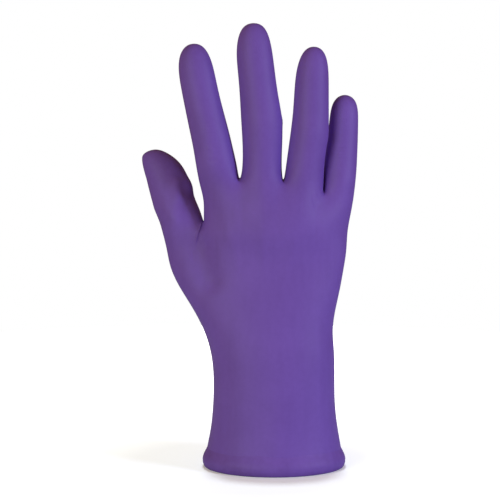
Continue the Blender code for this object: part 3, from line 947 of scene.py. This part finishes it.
def add_bead(material):
    """The rolled bead at the mouth: the film rolled up on itself, with its layers showing."""
    half_width = CUFF_MOUTH_HALF_WIDTH
    half_depth = CUFF_MOUTH_HALF_DEPTH
    points = []
    for step in range(BEAD_STEPS):
        around = 2 * math.pi * step / BEAD_STEPS
        outward = Vector((math.cos(around) / half_width, math.sin(around) / half_depth, 0))
        outward.normalize()
        place = Vector((half_width * math.cos(around), half_depth * math.sin(around), 0))
        place.x += CUFF_CENTRE_X
        for section_step in range(BEAD_SECTION_STEPS):
            out, up = bead_point(around, section_step)
            points.append(place + outward * out + Vector((0, 0, up)))
    polygons = ring_polygons(BEAD_STEPS, BEAD_SECTION_STEPS, True)
    data = bpy.data.meshes.new("cuff_bead_roll")
    data.from_pydata([point * MILLIMETRE for point in points], [], polygons)
    data.shade_smooth()
    keep_values(data, "rest", "FLOAT_VECTOR", points)
    data.materials.append(material)
    return new_object("cuff_bead_roll", data)


# Purple nitrile: its colour where the film is thin and where it is thick, and its gloss.
FILM_LIGHT = (0.178, 0.092, 0.43, 1.0)
FILM_DARK = (0.150, 0.075, 0.365, 1.0)
BEAD_LIGHT = (0.185, 0.095, 0.44, 1.0)
BEAD_DARK = (0.140, 0.068, 0.33, 1.0)
GLOSS = 0.2
ROUGHNESS = (0.50, 0.60)

# Unevenness of the dye: the scale, detail and share of clouds, mottling and flow streaks,
# how the streaks are stretched, and the range of their sum that the colours span.
Texture = namedtuple("Texture", "scale detail share")
CLOUDS = Texture(0.045, 2.0, 0.5)
MOTTLING = Texture(0.4, 3.0, 0.25)
STREAKS = Texture(1.0, 2.0, 0.25)
STREAK_STRETCH = (0.22, 0.22, 0.018)
DYE_RANGE = (0.3, 0.7)

# Relief of the surface: fine grain everywhere and a stipple on the fingertips.
GRAIN = Texture(1.6, 2.0, 1.0)
GRAIN_HEIGHT = 0.012
GRIP_SCALE = 0.9
GRIP_HEIGHT = 0.05


def noise_texture(tree, place, kind):
    """A noise texture of the rest position; its features are about 1 / scale long."""
    texture = tree.nodes.new("ShaderNodeTexNoise")
    texture.inputs["Scale"].default_value = kind.scale
    texture.inputs["Detail"].default_value = kind.detail
    tree.links.new(place, texture.inputs["Vector"])
    return texture.outputs["Fac"]


def math_node(tree, operation, first, second):
    """A math node on a link and a number, or on two links."""
    result = tree.nodes.new("ShaderNodeMath")
    result.operation = operation
    for socket, value in zip(result.inputs, (first, second)):
        if isinstance(value, (int, float)):
            socket.default_value = value
        else:
            tree.links.new(value, socket)
    return result.outputs["Value"]


def bump(tree, height, distance, below=None):
    """A bump of the given height in millimetres, on top of another bump."""
    result = tree.nodes.new("ShaderNodeBump")
    result.inputs["Distance"].default_value = distance * MILLIMETRE
    tree.links.new(height, result.inputs["Height"])
    if below is not None:
        tree.links.new(below, result.inputs["Normal"])
    return result.outputs["Normal"]


def attribute(tree, name):
    """The node that reads a value of the mesh."""
    result = tree.nodes.new("ShaderNodeAttribute")
    result.attribute_name = name
    return result


def dye_strength(tree, place, mottle):
    """How dark the dye is at a place: clouds, mottling and streaks that run down the film."""
    stretch = tree.nodes.new("ShaderNodeVectorMath")
    stretch.operation = "MULTIPLY"
    stretch.inputs[1].default_value = STREAK_STRETCH
    tree.links.new(place, stretch.inputs[0])
    cloud = noise_texture(tree, place, CLOUDS)
    streak = noise_texture(tree, stretch.outputs["Vector"], STREAKS)
    dye = math_node(tree, "MULTIPLY", cloud, CLOUDS.share)
    for texture, kind in ((mottle, MOTTLING), (streak, STREAKS)):
        dye = math_node(tree, "ADD", dye, math_node(tree, "MULTIPLY", texture, kind.share))
    return dye


def nitrile(name, light, dark):
    """Matte nitrile film: uneven dye, faint flow streaks, fine grain and gripping tips."""
    material, tree, shader = new_material(name)
    place = attribute(tree, "rest").outputs["Vector"]
    grip = attribute(tree, "grip").outputs["Fac"]
    mottle = noise_texture(tree, place, MOTTLING)

    ramp = tree.nodes.new("ShaderNodeValToRGB")
    for element, position, colour in zip(ramp.color_ramp.elements, DYE_RANGE, (dark, light)):
        element.position = position
        element.color = colour
    tree.links.new(dye_strength(tree, place, mottle), ramp.inputs["Fac"])
    tree.links.new(ramp.outputs["Color"], shader.inputs["Base Color"])

    rough = tree.nodes.new("ShaderNodeMapRange")
    rough.inputs["To Min"].default_value = ROUGHNESS[0]
    rough.inputs["To Max"].default_value = ROUGHNESS[1]
    tree.links.new(mottle, rough.inputs["Value"])
    tree.links.new(rough.outputs["Result"], shader.inputs["Roughness"])
    shader.inputs["Specular IOR Level"].default_value = GLOSS

    stipple = tree.nodes.new("ShaderNodeTexVoronoi")
    stipple.inputs["Scale"].default_value = GRIP_SCALE
    tree.links.new(place, stipple.inputs["Vector"])
    dots = math_node(tree, "MULTIPLY", stipple.outputs["Distance"], grip)
    surface = bump(tree, noise_texture(tree, place, GRAIN), GRAIN_HEIGHT)
    surface = bump(tree, dots, GRIP_HEIGHT, surface)
    tree.links.new(surface, shader.inputs["Normal"])
    return material


# Studio: the camera looks a little down at the glove from the front.
CAMERA_PLACE = Vector((0.0, -1.0, 0.235))
CAMERA_AIM = Vector((0.0005, 0.0, 0.1195))
CAMERA_LENS = 133.3
CAMERA_NEAR = 0.01

# Floor: the radii of its rings and how far each has faded to plain white. It is darker to
# every ray that isn't the camera's, so that it throws little light back at the glove.
FLOOR_RINGS = (0.065, 0.11, 0.3, 0.5)
FLOOR_FADE = (0.0, 0.2, 0.8, 1.0)
FLOOR_SIDES = 96
FLOOR_DROP = 0.0001
FLOOR_COLOUR = (0.86, 0.89, 0.92, 1.0)
FLOOR_BOUNCE = (0.42, 0.44, 0.47, 1.0)
FLOOR_GLOW = 0.2
WHITE = (1.0, 1.0, 1.0, 1.0)

# Sockets of a colour mix: its factor, its two colours and its result.
MIX_FACTOR = 0
MIX_FIRST = 6
MIX_SECOND = 7
MIX_RESULT = 2

LIGHT_AIM = Vector((0.0, 0.0, 0.12))
AMBIENT = (0.26, 0.14, 0.01, 1.0)

# Each softbox: name, azimuth (0 is the camera's side, 90 the right), elevation, distance,
# size, power, colour and whether it shows as a gleam.
# The floor has an overhead light of its own, and only the lower part of the cuff dims it.
Softbox = namedtuple("Softbox", "name azimuth elevation distance size power colour gleam")
SOFTBOXES = (
    Softbox("key", 60, 15, 1.4, 0.3, 12.5, (0.62, 0.69, 1.0), True),
    Softbox("front", -35, 12, 1.6, 0.8, 12.0, (0.93, 1.0, 1.0), True),
    Softbox("behind", 180, 14, 1.8, 1.2, 9.0, (0.8, 0.86, 1.0), False),
)
OVERHEAD = Softbox("overhead", 180, 68, 1.2, 0.3, 9.5, (0.86, 0.96, 1.0), False)
# Fills the palm side and leaves the floor as it is.
PALM_FILL = Softbox("palm_fill", 180, 4, 1.4, 0.4, 7.5, (0.9, 0.96, 1.0), False)


def add_camera():
    """The camera, as bpy.context.scene.camera."""
    data = bpy.data.cameras.new("camera")
    data.lens = CAMERA_LENS
    data.clip_start = CAMERA_NEAR
    camera = new_object("camera", data)
    camera.location = CAMERA_PLACE
    camera.rotation_euler = (CAMERA_AIM - CAMERA_PLACE).to_track_quat("-Z", "Y").to_euler()
    bpy.context.scene.camera = camera


def add_softbox(softbox):
    """A square area light that looks at the middle of the glove."""
    azimuth = math.radians(softbox.azimuth)
    elevation = math.radians(softbox.elevation)
    along_floor = Vector((math.sin(azimuth), -math.cos(azimuth), 0.0))
    away = along_floor * math.cos(elevation) + Vector((0.0, 0.0, math.sin(elevation)))
    data = bpy.data.lights.new(softbox.name, "AREA")
    data.size = softbox.size
    data.energy = softbox.power
    data.color = softbox.colour
    light = new_object(softbox.name, data)
    light.visible_camera = False
    light.visible_glossy = softbox.gleam
    light.location = LIGHT_AIM + away * softbox.distance
    light.rotation_euler = (-away).to_track_quat("-Z", "Y").to_euler()
    return light


def collection_of(name, members):
    """A collection of objects that a light is linked to."""
    result = bpy.data.collections.new(name)
    for member in members:
        result.objects.link(member)
    return result


def add_world():
    """A warm, dim room that shows as a white backdrop."""
    world = bpy.data.worlds.new("studio")
    bpy.context.scene.world = world
    world.use_nodes = True
    tree = world.node_tree
    room = tree.nodes["Background"]
    room.inputs["Color"].default_value = AMBIENT
    backdrop = tree.nodes.new("ShaderNodeBackground")
    backdrop.inputs["Color"].default_value = WHITE
    path = tree.nodes.new("ShaderNodeLightPath")
    mix = tree.nodes.new("ShaderNodeMixShader")
    tree.links.new(path.outputs["Is Camera Ray"], mix.inputs["Fac"])
    tree.links.new(room.outputs["Background"], mix.inputs[1])
    tree.links.new(backdrop.outputs["Background"], mix.inputs[2])
    tree.links.new(mix.outputs["Shader"], tree.nodes["World Output"].inputs["Surface"])


def floor_mesh():
    """A round floor just under the bead, in rings that keep how far each has faded."""
    data = bpy.data.meshes.new("floor")
    turns = [2 * math.pi * side / FLOOR_SIDES for side in range(FLOOR_SIDES)]
    circle = [Vector((math.cos(turn), math.sin(turn), 0)) for turn in turns]
    drop = Vector((0, 0, -FLOOR_DROP))
    corners = [point * radius + drop for radius in FLOOR_RINGS for point in circle]
    polygons = ring_polygons(len(FLOOR_RINGS), FLOOR_SIDES, False)
    data.from_pydata(corners, [], [range(FLOOR_SIDES)] + polygons)
    keep_values(data, "fade", "FLOAT", np.repeat(FLOOR_FADE, FLOOR_SIDES))
    return data


def floor_material():
    """Matte white that fades to plain white away from the glove."""
    material, tree, shader = new_material("floor")
    seen = tree.nodes.new("ShaderNodeLightPath").outputs["Is Camera Ray"]
    colour = tree.nodes.new("ShaderNodeMix")
    colour.data_type = "RGBA"
    colour.inputs[MIX_FIRST].default_value = FLOOR_BOUNCE
    colour.inputs[MIX_SECOND].default_value = FLOOR_COLOUR
    tree.links.new(seen, colour.inputs[MIX_FACTOR])
    tree.links.new(colour.outputs[MIX_RESULT], shader.inputs["Base Color"])
    shader.inputs["Roughness"].default_value = 1.0
    shader.inputs["Specular IOR Level"].default_value = 0.0
    shader.inputs["Emission Color"].default_value = WHITE
    glow = math_node(tree, "ADD", attribute(tree, "fade").outputs["Fac"], FLOOR_GLOW)
    glow = math_node(tree, "MULTIPLY", glow, seen)
    tree.links.new(glow, shader.inputs["Emission Strength"])
    return material


def add_floor(shading):
    """The floor and its own overhead light, which only the objects in shading dim."""
    data = floor_mesh()
    data.materials.append(floor_material())
    floor = new_object("floor", data)
    linking = add_softbox(OVERHEAD).light_linking
    linking.receiver_collection = collection_of("lit_by_overhead", [floor])
    linking.blocker_collection = collection_of("dims_overhead", shading)


def make_skin():
    """The glove's outer surface with all its detail."""
    cage = build_cage()
    skin = smooth_surface(cage, SKIN_LEVELS)
    finer = smooth_surface(cage, FINE_LEVELS)
    tree = BVHTree.FromBMesh(finer)
    refine(skin, tree, fine_places(tree), FINE_RADIUS)
    refine(skin, tree, [Vector(point) for point in WEB_FOLD], WEB_RADIUS)
    add_detail(skin, tree)
    cage.free()
    finer.free()
    return skin


def add_film(material):
    """Every piece of the film, by name; a piece without a bend is attached to its body, the
    others stay where they lie.
    """
    pieces = thumb_pieces()
    for name in FINGER_CREASES:
        pieces += finger_pieces(name)
    skin = make_skin()
    shares = share_out(skin, pieces)
    wrist_bend = tuple(level(height)[0] for height in WRIST_BEND)
    pieces.append(FilmPiece("cuff_film", None, None, None, ("cuff",), None, "cuff"))
    pieces.append(FilmPiece("palm_film", None, None, None, ("cuff", "hand"), wrist_bend, "palm"))
    film = {}
    for piece in pieces:
        result = film_object(piece.name, shares[piece.name], material)
        if piece.bend is None:
            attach(result, piece.bodies[0])
        else:
            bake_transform(result)
        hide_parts(piece.node)
        film[piece.name] = result
    skin.free()
    return film


def main():
    add_camera()
    film_material = nitrile("nitrile_film", FILM_LIGHT, FILM_DARK)
    bead = add_bead(nitrile("nitrile_bead", BEAD_LIGHT, BEAD_DARK))
    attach(bead, "cuff")
    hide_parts("cuff_bead")
    film = add_film(film_material)
    add_world()
    add_floor([bead, film["cuff_film"]])
    for softbox in SOFTBOXES:
        add_softbox(softbox)
    glove = collection_of("lit_by_palm_fill", [bead, *film.values()])
    add_softbox(PALM_FILL).light_linking.receiver_collection = glove
    bpy.context.scene.view_settings.view_transform = "Standard"


main()
